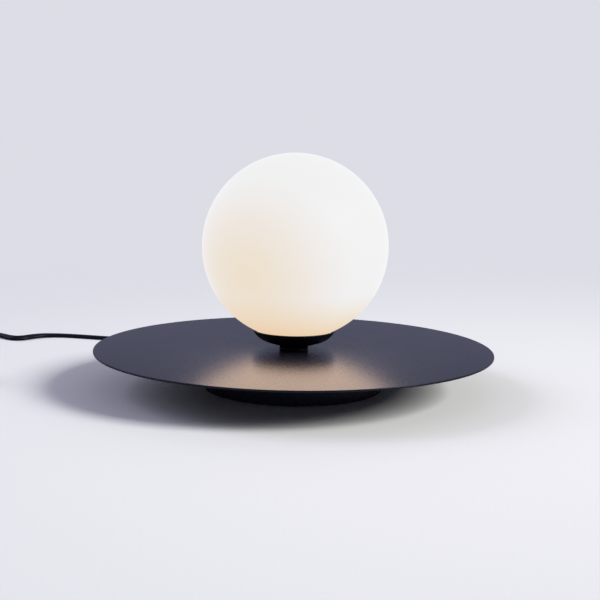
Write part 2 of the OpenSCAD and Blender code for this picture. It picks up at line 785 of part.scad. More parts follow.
module switch_base() {
    color(black) at_switch() difference() {
        union() {
            difference() {
                linear_extrude(height = switch_split) switch_outline(0);
                translate([0, 0, switch_floor]) linear_extrude(height = switch_split)
                    switch_outline(switch_wall);
            }
            switch_corners() cylinder(r = boss_r, h = switch_split);
        }
        for (a = [0, 180]) rotate([0, 0, a])
            translate([-cord_w / 2 - gap, switch_l / 2 - 2 * switch_wall, switch_cord_z - cord_t / 2 - gap])
                cube([cord_w + 2 * gap, 3 * switch_wall, cord_t + cut]);
        switch_corners() translate([0, 0, -cut])
            cylinder(r = switch_screw_r + slip, h = switch_split + 2 * cut);
        switch_corners() translate([0, 0, -cut])
            cylinder(r = 2 * switch_screw_r + slip, h = cut + switch_screw_r);
    }
}

module switch_cover() {
    color(black) at_switch() difference() {
        union() {
            difference() {
                intersection() {
                    translate([0, 0, switch_split + slip])
                        linear_extrude(height = switch_h - switch_split) switch_outline(0);
                    translate([0, 0, switch_h - crown_r]) rotate([90, 0, 0])
                        cylinder(r = crown_r, h = switch_l + cut, center = true);
                }
                translate([0, 0, switch_split - cut])
                    linear_extrude(height = switch_ceiling - switch_split + cut) switch_outline(switch_wall);
            }
            switch_corners() translate([0, 0, switch_split + slip])
                cylinder(r = boss_r, h = switch_ceiling - switch_split);
        }
        translate([-window[0] / 2, -window[1] / 2, switch_split]) cube([window[0], window[1], switch_h]);
        translate([0, 0, axle_z]) rotate([0, 90, 0])
            cylinder(r = axle_r + fit / 2, h = axle_l + 2 * fit, center = true);
        switch_corners() translate([0, 0, switch_split])
            cylinder(r = switch_screw_r + fit, h = switch_ceiling - switch_split);
    }
}

module switch_rocker() {
    color(rubber) at_switch() translate([0, 0, axle_z]) rotate([-rocker_swing / 2, 0, 0]) difference() {
        rotate([90, 0, 90]) linear_extrude(height = rocker_w, center = true)
            polygon([[-rocker_half, 4.8], [0, 3.4], [rocker_half, 4.8], [rocker_half, 1],
                [3, -2.6], [-3, -2.6], [-rocker_half, 1]]);
        rotate([0, 90, 0]) cylinder(r = axle_r + fit, h = rocker_w + cut, center = true);
    }
}

module rocker_axle() {
    color(steel) at_switch() translate([0, 0, axle_z]) rotate([0, 90, 0])
        cylinder(r = axle_r, h = axle_l, center = true);
}

module switch_terminals() {
    color(brass) at_switch() for (s = [-1, 1])
        translate([-contact_block[0] / 2, s * contact_y - contact_block[1] / 2, switch_floor])
            difference() {
                cube(contact_block);
                translate([contact_block[0] / 2, contact_block[1] / 2, contact_block[2] / 2])
                    cylinder(r = switch_screw_r, h = contact_block[2]);
            }
}

module switch_screws() {
    color(steel) at_switch() switch_corners() translate([0, 0, switch_screw_r])
        screw(switch_screw_r, switch_ceiling - switch_screw_r - room, 2 * switch_screw_r,
            switch_screw_r - gap);
}

// Cord from the switch to the plug
module cord_run() {
    color(black) sweep(run_points, cord_section, [0, -1, 0], [0, -1, 0]);
}

module cord_coil() {
    color(black) sweep(coil_points, coil_section, [0, -1, 0], [0, -1, 0]);
}

module coil_tie() {
    in_x = coil_radius(coil_turns - 0.5) - cord_t / 2 - 1.2;
    out_x = coil_r - coil_pitch / 2 + cord_t / 2 + room;
    top = coil_z + coil_layer + cord_w / 2 + gap;
    color(rubber) translate([coil_at[0], coil_at[1] - tie_w / 2, 0]) difference() {
        translate([in_x - tie_t, 0, 0]) cube([out_x - in_x + 2 * tie_t, tie_w, top + tie_t]);
        translate([in_x, -cut, tie_t]) cube([out_x - in_x, tie_w + 2 * cut, top - tie_t]);
    }
}

module cord_tail() {
    color(black) sweep(tail_points, cord_section, [0, -1, 0], [0, -1, 0]);
}

// Two-pin plug, pins towards -Y
plug_tip = -plug_l;
plug_boot_l = 22;
pin_root = 8;
sleeve_l = 10;
sleeve_t = 0.35;
sleeve_r = plug_pin_d / 2;
pin_shank_r = sleeve_r - sleeve_t - fit;

module plug_boot() {
    color(rubber) translate(plug_at) tapered_boot([[0, 0], [5.8, 0], [5.8, 3], [5.2, 3],
        [boot_tip_r, plug_boot_l], [0, plug_boot_l]], 0, plug_boot_l, 0);
}

module plug_body() {
    color(black) translate(plug_at) difference() {
        intersection() {
            translate([0, 0, -plug_t / 2]) linear_extrude(height = plug_t)
                polygon([[-plug_w / 2, plug_tip], [plug_w / 2, plug_tip], [plug_w / 2, plug_tip + 9],
                    [7.5, 0], [-7.5, 0], [-plug_w / 2, plug_tip + 9]]);
            rotate([90, 0, 0]) linear_extrude(height = plug_l)
                polygon([[-plug_w / 2, 0], [-plug_w / 2 + 5, plug_t / 2], [plug_w / 2 - 5, plug_t / 2],
                    [plug_w / 2, 0], [plug_w / 2 - 5, -plug_t / 2], [-plug_w / 2 + 5, -plug_t / 2]]);
        }
        both_sides() translate([plug_pin_pitch / 2, plug_tip + pin_root, 0]) rotate([90, 0, 0])
            cylinder(r = pin_shank_r + fit, h = pin_root + cut);
    }
}

module plug_pins() {
    r = plug_pin_d / 2;
    color(brass) translate(plug_at) both_sides()
        translate([plug_pin_pitch / 2, plug_tip + pin_root, 0]) rotate([90, 0, 0]) rotate_extrude()
            polygon([[0, 0], [pin_shank_r, 0], [pin_shank_r, pin_root + sleeve_l],
                [r, pin_root + sleeve_l], [r, pin_root + plug_pin_l - cut],
                [r - cut, pin_root + plug_pin_l], [0, pin_root + plug_pin_l]]);
}

module plug_sleeves() {
    color(black) translate(plug_at) both_sides() translate([plug_pin_pitch / 2, plug_tip, 0])
        rotate([90, 0, 0]) ring(sleeve_r, sleeve_r - sleeve_t, 0, sleeve_l);
}

base_disc();
base_drum();
bottom_cover();
ballast_ring();
cover_posts();
cover_screws();
rubber_feet();
neck_spacer();
globe_cup();
thread_collar();
stem_pipe();
stem_washer();
lower_nut();
upper_nut();
socket_bracket();
lamp_socket();
socket_contacts();
socket_screws();
lamp_leads();
terminal_block();
terminal_tubes();
terminal_screws();
clamp_block();
clamp_bar();
clamp_screws();
cord_boot();
cord_inner();
cord_cores();
glass_globe();
globe_gasket();
bulb_base();
bulb_pins();
bulb_core();
bulb_chips();
bulb_envelope();
cord_lead();
switch_base();
switch_cover();
switch_rocker();
rocker_axle();
switch_terminals();
switch_screws();
cord_run();
cord_coil();
coil_tie();
cord_tail();
plug_boot();
plug_body();
plug_pins();
plug_sleeves();
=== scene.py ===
import json
import math

import bmesh
import bpy
from mathutils import Matrix, Vector

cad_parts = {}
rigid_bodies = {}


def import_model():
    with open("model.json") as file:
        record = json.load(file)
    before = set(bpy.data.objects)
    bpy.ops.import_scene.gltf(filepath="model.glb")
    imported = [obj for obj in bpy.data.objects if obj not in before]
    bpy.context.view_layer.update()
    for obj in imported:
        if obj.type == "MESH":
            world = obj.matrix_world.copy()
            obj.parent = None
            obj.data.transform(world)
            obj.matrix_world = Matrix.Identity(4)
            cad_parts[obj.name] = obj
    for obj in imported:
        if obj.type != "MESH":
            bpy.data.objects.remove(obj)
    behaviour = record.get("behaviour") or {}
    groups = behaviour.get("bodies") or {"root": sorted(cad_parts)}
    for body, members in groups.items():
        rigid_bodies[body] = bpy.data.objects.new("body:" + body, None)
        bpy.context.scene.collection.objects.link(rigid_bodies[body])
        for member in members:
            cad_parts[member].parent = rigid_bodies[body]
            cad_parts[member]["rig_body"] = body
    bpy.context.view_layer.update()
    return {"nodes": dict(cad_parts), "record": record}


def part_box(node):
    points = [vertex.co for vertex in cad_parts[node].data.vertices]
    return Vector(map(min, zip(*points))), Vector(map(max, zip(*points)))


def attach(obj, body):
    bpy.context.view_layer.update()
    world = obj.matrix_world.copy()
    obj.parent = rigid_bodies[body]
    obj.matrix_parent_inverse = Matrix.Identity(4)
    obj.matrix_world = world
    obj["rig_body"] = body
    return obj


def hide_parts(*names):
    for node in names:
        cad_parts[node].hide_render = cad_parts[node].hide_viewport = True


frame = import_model()
nodes = frame["nodes"]
MM = 0.001

# Sizes read from the frame, in metres
disc_low, disc_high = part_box("base_disc")
cup_low, cup_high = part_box("globe_cup")
neck_low, neck_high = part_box("neck_spacer")
globe_low, globe_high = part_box("glass_globe")
disc_radius = disc_high.y
globe_radius = globe_high.y
globe_centre = globe_high.z - globe_radius

# Sizes that repeat the construction, in metres
STEM_HOLE = 5.1 * MM
GLOBE_WALL = 3 * MM
GLOBE_NECK_OUTER = 18 * MM
GLOBE_NECK_INNER = 15 * MM
CUP_WALL = 1 * MM
CUP_CONE_RADIUS = 21 * MM
CUP_CONE_RISE = 3.1 * MM
NECK_RADIUS = 11.2 * MM
NECK_WAIST = 0.6 * MM
CORD_WIDTH = 5.2 * MM
CORD_THICK = 3.2 * MM
SWITCH_WALL = 2 * MM
SWITCH_ROOF = 2.6 * MM
SWITCH_CROWN = 40 * MM
SWITCH_WINDOW = (6.5 * MM, 10.5 * MM)
PLUG_SHOULDER = 9 * MM
PLUG_REAR = 7.5 * MM
PLUG_FLANK = 5 * MM

# Soft edges of the pieces, in metres, and how square the plug's section is
DISC_EDGE = 0.5 * MM
GLOBE_LIP = 0.8 * MM
SWITCH_EDGE = 2 * MM
SWITCH_BEVEL = 0.4 * MM
PLUG_EDGE = 1.6 * MM
PLUG_EASE = 2 * MM
PLUG_SQUARENESS = 14

# Fineness of the meshes: segments of a full turn, then steps of an arc or a length
LATHE_SEGMENTS = 256
SWITCH_SEGMENTS = 96
PLUG_SEGMENTS = 72
FLOOR_SEGMENTS = 96
CORD_SIDES = 20
FILLET_STEPS = 5
WAIST_STEPS = 16
CUP_STEPS = 40
CUP_LIP_STEPS = 10
GLOBE_OUTER_STEPS = 120
GLOBE_INNER_STEPS = 90
SWITCH_EDGE_STEPS = 8
PLUG_EDGE_STEPS = 5
PLUG_LENGTH_STEPS = 16

# Limits of the mesh functions
SHARP_ANGLE = math.radians(40)
FLAT_CORNER = math.radians(170)
FILLET_SHARE = 0.45
ON_AXIS = 1e-7
NEARLY_ZERO = 1e-9

# Camera: focal length in pixels of a 600 pixel frame, place and angles fitted to the photograph
IMAGE_SIDE = 600
FOCAL_PIXELS = 1400
SENSOR_MM = 36
CAMERA_PLACE = Vector((0.0, -1.046, 0.2248))
CAMERA_YAW = math.radians(0.227)
CAMERA_PITCH = math.radians(8.511)
CAMERA_ROLL = math.radians(0.939)
CAMERA_NEAR = 10 * MM


def add_camera():
    yaw, pitch, roll = CAMERA_YAW, CAMERA_PITCH, CAMERA_ROLL
    ahead = Vector((math.sin(yaw) * math.cos(pitch), math.cos(yaw) * math.cos(pitch), -math.sin(pitch)))
    right = Vector((math.cos(yaw), -math.sin(yaw), 0.0))
    up = right.cross(ahead)
    side = math.cos(roll) * right + math.sin(roll) * up
    top = math.cos(roll) * up - math.sin(roll) * right
    turn = Matrix((side, top, -ahead)).transposed()
    data = bpy.data.cameras.new("camera")
    data.sensor_fit = "HORIZONTAL"
    data.sensor_width = SENSOR_MM
    data.lens = SENSOR_MM * FOCAL_PIXELS / IMAGE_SIDE
    data.clip_start = CAMERA_NEAR
    camera = bpy.data.objects.new("camera", data)
    camera.matrix_world = Matrix.Translation(CAMERA_PLACE) @ turn.to_4x4()
    bpy.context.scene.collection.objects.link(camera)
    bpy.context.scene.camera = camera


# Meshes
def add_mesh(name, points, faces):
    mesh = bpy.data.meshes.new(name)
    mesh.from_pydata([tuple(p) for p in points], [], faces)
    work = bmesh.new()
    work.from_mesh(mesh)
    bmesh.ops.recalc_face_normals(work, faces=work.faces)
    work.to_mesh(mesh)
    work.free()
    mesh.shade_smooth()
    mesh.set_sharp_from_angle(angle=SHARP_ANGLE)
    piece = bpy.data.objects.new(name, mesh)
    bpy.context.scene.collection.objects.link(piece)
    return piece


def around(count, shift=0.0):
    """Evenly spaced angles of a full turn."""
    return [2 * math.pi * (i + shift) / count for i in range(count)]


def arc(centre, radius, start, end, steps):
    """Points of an arc in the (radius, height) plane, angles in degrees."""
    turns = [math.radians(start + (end - start) * i / steps) for i in range(steps + 1)]
    return [(centre[0] + radius * math.cos(a), centre[1] + radius * math.sin(a)) for a in turns]


def filleted(outline, radius):
    """A closed outline with each corner rounded, where its sides leave room."""
    out = []
    count = len(outline)
    for i in range(count):
        here = Vector(outline[i])
        back = Vector(outline[i - 1]) - here
        on = Vector(outline[(i + 1) % count]) - here
        opening = back.angle(on)
        if opening > FLAT_CORNER:
            out.append(tuple(here))
            continue
        room = FILLET_SHARE * min(back.length, on.length)
        reach = min(radius / math.tan(opening / 2), room)
        first = here + back.normalized() * reach
        last = here + on.normalized() * reach
        for k in range(FILLET_STEPS + 1):
            t = k / FILLET_STEPS
            out.append(tuple((1 - t) ** 2 * first + 2 * t * (1 - t) * here + t * t * last))
    return out


def lathe(name, outline, closed):
    """Turns an outline of (radius, height) points about Z."""
    points = []
    rings = []
    for radius, height in outline:
        first = len(points)
        if radius < ON_AXIS:
            points.append((0.0, 0.0, height))
        else:
            points += [(radius * math.cos(a), radius * math.sin(a), height) for a in around(LATHE_SEGMENTS)]
        rings.append(range(first, len(points)))
    pairs = list(zip(rings, rings[1:]))
    if closed:
        pairs.append((rings[-1], rings[0]))
    faces = []
    for low, high in pairs:
        for i in range(LATHE_SEGMENTS):
            j = (i + 1) % LATHE_SEGMENTS
            corners = [low[i % len(low)], low[j % len(low)], high[j % len(high)], high[i % len(high)]]
            face = list(dict.fromkeys(corners))
            if len(face) > 2:
                faces.append(face)
    return add_mesh(name, points, faces)


def add_rings(name, rings, closed):
    """Skin over rings of equal count. Closed, the last joins the first; otherwise both ends are capped."""
    count = len(rings[0])
    last = len(rings) - 1
    pairs = [(i, i + 1) for i in range(last)]
    if closed:
        pairs.append((last, 0))
    faces = [(a * count + i, a * count + (i + 1) % count, b * count + (i + 1) % count, b * count + i)
             for a, b in pairs for i in range(count)]
    if not closed:
        faces += [tuple(range(end * count, (end + 1) * count)) for end in (0, last)]
    return add_mesh(name, [p for ring in rings for p in ring], faces)


# Material nodes: most values of a noise lie within this span
NOISE_SPAN = (0.3, 0.7)


def new_material(name):
    material = bpy.data.materials.new(name)
    material.use_nodes = True
    tree = material.node_tree
    return material, tree, tree.nodes["Principled BSDF"]


def link(tree, source, target):
    tree.links.new(source, target)


def noise(tree, scale, detail=3.0, roughness=0.5):
    coords = tree.nodes.new("ShaderNodeTexCoord")
    node = tree.nodes.new("ShaderNodeTexNoise")
    node.inputs["Scale"].default_value = scale
    node.inputs["Detail"].default_value = detail
    node.inputs["Roughness"].default_value = roughness
    link(tree, coords.outputs["Object"], node.inputs["Vector"])
    return node.outputs["Fac"]


def ramp(tree, value, stops):
    node = tree.nodes.new("ShaderNodeValToRGB")
    elements = node.color_ramp.elements
    while len(elements) < len(stops):
        elements.new(0.5)
    for element, (place, colour) in zip(elements, stops):
        element.position = place
        element.color = (*colour, 1.0)
    link(tree, value, node.inputs["Fac"])
    return node.outputs["Color"]


def drifting(tree, scale, dark, light):
    """A colour that drifts slowly between two shades."""
    return ramp(tree, noise(tree, scale), list(zip(NOISE_SPAN, (dark, light))))


def spread(tree, value, low, high):
    """Stretches the span of a noise to the one from low to high."""
    node = tree.nodes.new("ShaderNodeMapRange")
    node.inputs["From Min"].default_value = NOISE_SPAN[0]
    node.inputs["From Max"].default_value = NOISE_SPAN[1]
    node.inputs["To Min"].default_value = low
    node.inputs["To Max"].default_value = high
    link(tree, value, node.inputs["Value"])
    return node.outputs["Result"]


def bump(tree, shader, value, strength, depth):
    node = tree.nodes.new("ShaderNodeBump")
    node.inputs["Strength"].default_value = strength
    node.inputs["Distance"].default_value = depth
    link(tree, value, node.inputs["Height"])
    link(tree, node.outputs["Normal"], shader.inputs["Normal"])


def blend(tree, share, first, second):
    """The surface goes from the first shader to the second as the share grows."""
    mix = tree.nodes.new("ShaderNodeMixShader")
    link(tree, share, mix.inputs["Fac"])
    link(tree, first, mix.inputs[1])
    link(tree, second, mix.inputs[2])
    link(tree, mix.outputs["Shader"], tree.nodes["Material Output"].inputs["Surface"])


# Plain finishes: their gloss varies faster than their colour
GLOSS_PACE = 2.7


def plain_material(name, dark, light, rough, drift, grain, strength, depth, metallic=0.0):
    """A surface with a slow drift of colour, uneven gloss and a fine grain."""
    material, tree, shader = new_material(name)
    link(tree, drifting(tree, drift, dark, light), shader.inputs["Base Color"])
    link(tree, spread(tree, noise(tree, drift * GLOSS_PACE), *rough), shader.inputs["Roughness"])
    bump(tree, shader, noise(tree, grain, detail=4.0), strength, depth)
    shader.inputs["Metallic"].default_value = metallic
    return material


# Black finishes: two shades of black, the gloss and its blue tint, a painted sky sheen, and the pebbles of
# the grain
BLACK_DARK = (0.0022, 0.0024, 0.0023)
BLACK_LIGHT = (0.0034, 0.0037, 0.0035)
BLACK_DRIFT = 60.0
BLACK_ROUGH = (0.25, 0.35)
BLACK_SHEEN_TINT = (0.70, 0.76, 1.0)
BLACK_UNEVEN = 0.2
PEBBLE_PACE = 1.4
PEBBLE_STRENGTH = 0.25
PEBBLE_DEPTH = 0.12 * MM
COAT_GRAIN = 520.0
# How much bluer than grey the coat's black is: painted sheen of the bluish sky
COAT_SHEEN_BLUE = 2.0


def black_material(name, gloss, grain, sky_sheen_blue):
    """Black and satin, with a fine pebbled grain; its blue factor makes the black bluer than grey as
    painted sheen.
    """
    material, tree, shader = new_material(name)
    dark, light = ((r, g, b * sky_sheen_blue) for r, g, b in (BLACK_DARK, BLACK_LIGHT))
    colour = drifting(tree, BLACK_DRIFT, dark, light)
    link(tree, colour, shader.inputs["Base Color"])
    link(tree, spread(tree, noise(tree, grain), *BLACK_ROUGH), shader.inputs["Roughness"])
    shader.inputs["Specular Tint"].default_value = (*BLACK_SHEEN_TINT, 1.0)
    pebbles = noise(tree, PEBBLE_PACE * grain, detail=4.0, roughness=0.6)
    bump(tree, shader, pebbles, PEBBLE_STRENGTH, PEBBLE_DEPTH)
    matt = tree.nodes.new("ShaderNodeBsdfDiffuse")
    link(tree, colour, matt.inputs["Color"])
    specks = noise(tree, grain, detail=4.0, roughness=0.7)
    share = spread(tree, specks, (1 - BLACK_UNEVEN) * gloss, (1 + BLACK_UNEVEN) * gloss)
    blend(tree, share, matt.outputs["BSDF"], shader.outputs["BSDF"])
    return material


# Opal glass: white towards the window and warm away from it, painted light and shade; the direction of the
# warm side, colours by how far the glass faces it, and colours by height above the bottom in radii of the
# globe
PAINTED_SHADE_SIDE = (-0.494, -0.833, -0.247)
PAINTED_SHADE_PATCH = [
    (0.45, (0.85, 0.85, 0.85)), (0.60, (0.85, 0.83, 0.81)), (0.75, (0.85, 0.80, 0.76)),
    (0.90, (0.84, 0.77, 0.68)), (1.00, (0.84, 0.74, 0.60))]
# The warmer bottom is partly the bulb low in the globe and partly painted shade on the underside
BOTTOM_WARMTH_AND_SHADE = [
    (0.05, (1.0, 0.72, 0.45)), (0.20, (1.0, 0.83, 0.63)), (0.35, (1.0, 0.92, 0.80)),
    (0.55, (1.0, 1.0, 1.0))]
OPAL_DARK = (0.022, 0.022, 0.022)
OPAL_LIGHT = (0.028, 0.028, 0.028)
OPAL_DRIFT = 45.0
OPAL_ROUGH = (0.46, 0.54)
OPAL_GLOSS = 60.0
OPAL_SPECULAR = 0.02
OPAL_WAVES = 90.0
OPAL_STRENGTH = 0.05
OPAL_DEPTH = 0.1 * MM


def opal_material():
    """Opal glass, lit: glowing white with a warm patch, painted shade away from the window, and a warmer
    bottom.
    """
    material, tree, shader = new_material("opal_glass")
    coords = tree.nodes.new("ShaderNodeTexCoord")
    from_centre = tree.nodes.new("ShaderNodeVectorMath")
    from_centre.operation = "MULTIPLY_ADD"
    from_centre.inputs[1].default_value = (1 / globe_radius,) * 3
    from_centre.inputs[2].default_value = (0.0, 0.0, -globe_centre / globe_radius)
    link(tree, coords.outputs["Object"], from_centre.inputs[0])
    facing = tree.nodes.new("ShaderNodeVectorMath")
    facing.operation = "DOT_PRODUCT"
    facing.inputs[1].default_value = PAINTED_SHADE_SIDE
    link(tree, from_centre.outputs["Vector"], facing.inputs[0])
    # Warm patch away from the window: painted shade in the glow
    painted_shade_patch = ramp(tree, facing.outputs["Value"], PAINTED_SHADE_PATCH)
    split = tree.nodes.new("ShaderNodeSeparateXYZ")
    link(tree, from_centre.outputs["Vector"], split.inputs["Vector"])
    height = tree.nodes.new("ShaderNodeMath")
    height.operation = "ADD"
    height.inputs[1].default_value = 1.0
    link(tree, split.outputs["Z"], height.inputs[0])
    bottom = ramp(tree, height.outputs["Value"], BOTTOM_WARMTH_AND_SHADE)
    mix = tree.nodes.new("ShaderNodeMixRGB")
    mix.blend_type = "MULTIPLY"
    mix.inputs["Fac"].default_value = 1.0
    link(tree, painted_shade_patch, mix.inputs["Color1"])
    link(tree, bottom, mix.inputs["Color2"])
    link(tree, mix.outputs["Color"], shader.inputs["Emission Color"])
    shader.inputs["Emission Strength"].default_value = 1.0
    link(tree, drifting(tree, OPAL_DRIFT, OPAL_DARK, OPAL_LIGHT), shader.inputs["Base Color"])
    link(tree, spread(tree, noise(tree, OPAL_GLOSS), *OPAL_ROUGH), shader.inputs["Roughness"])
    shader.inputs["Specular IOR Level"].default_value = OPAL_SPECULAR
    bump(tree, shader, noise(tree, OPAL_WAVES, detail=2.0), OPAL_STRENGTH, OPAL_DEPTH)
    return material


def make_materials():
    """One material for each slot of the record."""
    return {
        "black_coat": black_material("powder_coat", gloss=0.38, grain=COAT_GRAIN, sky_sheen_blue=COAT_SHEEN_BLUE),
        "opal_glass": opal_material(),
        "plated_steel": plain_material(
            "plated_steel", dark=(0.50, 0.51, 0.53), light=(0.62, 0.63, 0.64), rough=(0.24, 0.36),
            drift=90.0, grain=700.0, strength=0.08, depth=0.05 * MM, metallic=1.0),
        "brass": plain_material(
            "brass", dark=(0.62, 0.43, 0.17), light=(0.74, 0.54, 0.24), rough=(0.22, 0.36),
            drift=120.0, grain=800.0, strength=0.08, depth=0.05 * MM, metallic=1.0),
        "ballast_iron": plain_material(
            "cast_iron", dark=(0.035, 0.035, 0.037), light=(0.07, 0.068, 0.066), rough=(0.6, 0.75),
            drift=70.0, grain=380.0, strength=0.35, depth=0.25 * MM),
        "foot_rubber": black_material("rubber", gloss=0.3, grain=1100.0, sky_sheen_blue=1.1),
        "silicone": plain_material(
            "silicone", dark=(0.64, 0.63, 0.60), light=(0.72, 0.71, 0.68), rough=(0.4, 0.5),
            drift=150.0, grain=900.0, strength=0.08, depth=0.05 * MM),
        "ceramic_white": plain_material(
            "ceramic", dark=(0.76, 0.74, 0.70), light=(0.84, 0.82, 0.78), rough=(0.28, 0.4),
            drift=110.0, grain=600.0, strength=0.1, depth=0.06 * MM),
        "white_plastic": plain_material(
            "white_plastic", dark=(0.72, 0.71, 0.68), light=(0.80, 0.79, 0.76), rough=(0.38, 0.48),
            drift=130.0, grain=1200.0, strength=0.1, depth=0.05 * MM),
        "black_plastic": black_material("black_plastic", gloss=0.7, grain=1300.0, sky_sheen_blue=1.1),
        "cord_pvc": black_material("cord_pvc", gloss=0.22, grain=900.0, sky_sheen_blue=2.0),
        "wire_sleeve": plain_material(
            "wire_sleeve", dark=(0.62, 0.60, 0.56), light=(0.78, 0.76, 0.72), rough=(0.6, 0.75),
            drift=400.0, grain=2200.0, strength=0.4, depth=0.08 * MM),
        "bulb_frost": plain_material(
            "bulb_frost", dark=(0.84, 0.80, 0.72), light=(0.90, 0.87, 0.80), rough=(0.5, 0.6),
            drift=120.0, grain=1500.0, strength=0.1, depth=0.03 * MM),
        "led_phosphor": plain_material(
            "led_phosphor", dark=(0.78, 0.56, 0.07), light=(0.88, 0.68, 0.14), rough=(0.45, 0.55),
            drift=300.0, grain=1500.0, strength=0.1, depth=0.03 * MM),
    }


materials = make_materials()
slot_of = {part["node"]: part["material_slot"] for part in frame["record"]["subparts"]}


def dress(piece, slot):
    piece.data.materials.clear()
    piece.data.materials.append(materials[slot])


def stand_for(piece, *names):
    """A piece takes the place, the body and the finish of CAD nodes."""
    slot = slot_of[names[0]]
    dress(piece, slot)
    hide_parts(*names)
    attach(piece, nodes[names[0]]["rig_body"])
    return piece


for node_name, node_object in nodes.items():
    dress(node_object, slot_of[node_name])

add_camera()

# Cord: the route's points as built, in millimetres: x, y, height of the middle, tilt of the flat section
LEAD_POINTS = [
    (0, 93, 20, 0), (0, 101, 20, 0), (-2, 114, 17.5, 0), (-9, 130, 11.5, 0),
    (-21, 147, 6, 0), (-38, 162, 2.8, 0), (-60, 173, 1.8, 0), (-90, 180, 1.8, 0),
    (-121, 186, 1.8, 0), (-146, 190.5, 1.8, 0), (-169, 194.5, 1.8, 0), (-186, 199, 1.8, 0),
    (-201, 203, 1.8, 0), (-215, 204, 1.9, 5), (-226, 201, 2.1, 16), (-234.5, 194, 2.3, 28),
    (-241, 187, 2.3, 30), (-248, 184.5, 2.3, 28), (-255, 189, 2.2, 22), (-261.5, 196, 2.1, 16),
    (-269.5, 204, 1.9, 6), (-281, 210, 1.8, 0), (-295, 208.5, 2, 0), (-306.5, 198, 2.8, 0),
    (-313, 185, 4.1, 0), (-315, 172.5, 4.6, 0), (-315, 160, 4.6, 0)]
RUN_POINTS = [
    (-315, 110, 4.6, 0), (-315, 102, 4.6, 0), (-315, 88, 3.6, 15), (-315, 70, 2.6, 45),
    (-315, 50, 2.8, 75), (-315, 34, 3.5, 90), (-315, 22, 3.7, 90), (-315, 12, 3.7, 90)]
TAIL_POINTS = [
    (-315, -2, 10.3, 90), (-315, -10, 10.3, 88), (-315, -22, 9.4, 60),
    (-315, -34, 7.8, 25), (-315, -43, 7, 0), (-315, -50, 7, 0)]
ROUTE_STEPS = 6

# Coil of two layers, in millimetres; the climb between them is a share of a turn
COIL_CENTRE = (-277, 5)
COIL_TURNS = 3
COIL_INNER = 23
COIL_PITCH = 5
COIL_LAYER = 6.6
COIL_BOTTOM = 3.7
COIL_CLIMB = 0.5
COIL_TILT = 90
RINGS_PER_TURN = 48


def smooth_route(points):
    """A smooth curve through the points, with their tilt."""
    out = []
    last = len(points) - 1
    for i in range(last):
        a, b, c, d = (Vector(points[k]) for k in (max(i - 1, 0), i, i + 1, min(i + 2, last)))
        for k in range(ROUTE_STEPS):
            t = k / ROUTE_STEPS
            out.append(0.5 * (2 * b + (c - a) * t + (2 * a - 5 * b + 4 * c - d) * t * t
                              + (3 * b - a - 3 * c + d) * t ** 3))
    out.append(Vector(points[last]))
    return out


def coil_route():
    """Spirals in and out again, and climbs a layer in the half turn where it reverses."""
    out = []
    for i in range(2 * COIL_TURNS * RINGS_PER_TURN + 1):
        t = i / RINGS_PER_TURN
        angle = math.pi + 2 * math.pi * t
        radius = COIL_INNER + COIL_PITCH * abs(t - COIL_TURNS)
        climb = min(max((t - COIL_TURNS + COIL_CLIMB / 2) / COIL_CLIMB, 0), 1)
        height = COIL_BOTTOM + COIL_LAYER * climb * climb * (3 - 2 * climb)
        out.append(Vector((COIL_CENTRE[0] + radius * math.cos(angle),
                           COIL_CENTRE[1] + radius * math.sin(angle), height, COIL_TILT)))
    return out


def flat_section():
    """Outline of the flat cord: straight faces with half-round edges."""
    straight = (CORD_WIDTH - CORD_THICK) / 2
    radius = CORD_THICK / 2
    out = []
    for a in around(CORD_SIDES, 0.5):
        shift = straight if math.cos(a) > 0 else -straight
        out.append((radius * math.cos(a) + shift, radius * math.sin(a)))
    return out


def sweep(name, route, section):
    """Skin of a section that follows a route in millimetres and turns with its tilt."""
    rings = []
    last = len(route) - 1
    for i, p in enumerate(route):
        ahead = (route[min(i + 1, last)] - route[max(i - 1, 0)]).to_3d().normalized()
        side = Vector((ahead.y, -ahead.x, 0)).normalized()
        up = side.cross(ahead)
        tilt = math.radians(p[3])
        rings.append([p.to_3d() * MM + side * (x * math.cos(tilt) - y * math.sin(tilt))
                      + up * (x * math.sin(tilt) + y * math.cos(tilt)) for x, y in section])
    return add_rings(name, rings, False)


# Moulded pieces on the cord
def stadium_reach(angle, half_width, straight):
    """Distance from the middle of a shape with round ends to its edge."""
    across, along = abs(math.cos(angle)), abs(math.sin(angle))
    if half_width * along <= straight * across:
        return half_width / across
    return straight * along + math.sqrt(half_width ** 2 - (straight * across) ** 2)


def window_reach(angle, grow):
    """Distance from the middle of the rocker's window to its edge."""
    across, along = max(abs(math.cos(angle)), NEARLY_ZERO), max(abs(math.sin(angle)), NEARLY_ZERO)
    return min((SWITCH_WINDOW[0] + grow) / across, (SWITCH_WINDOW[1] + grow) / along)


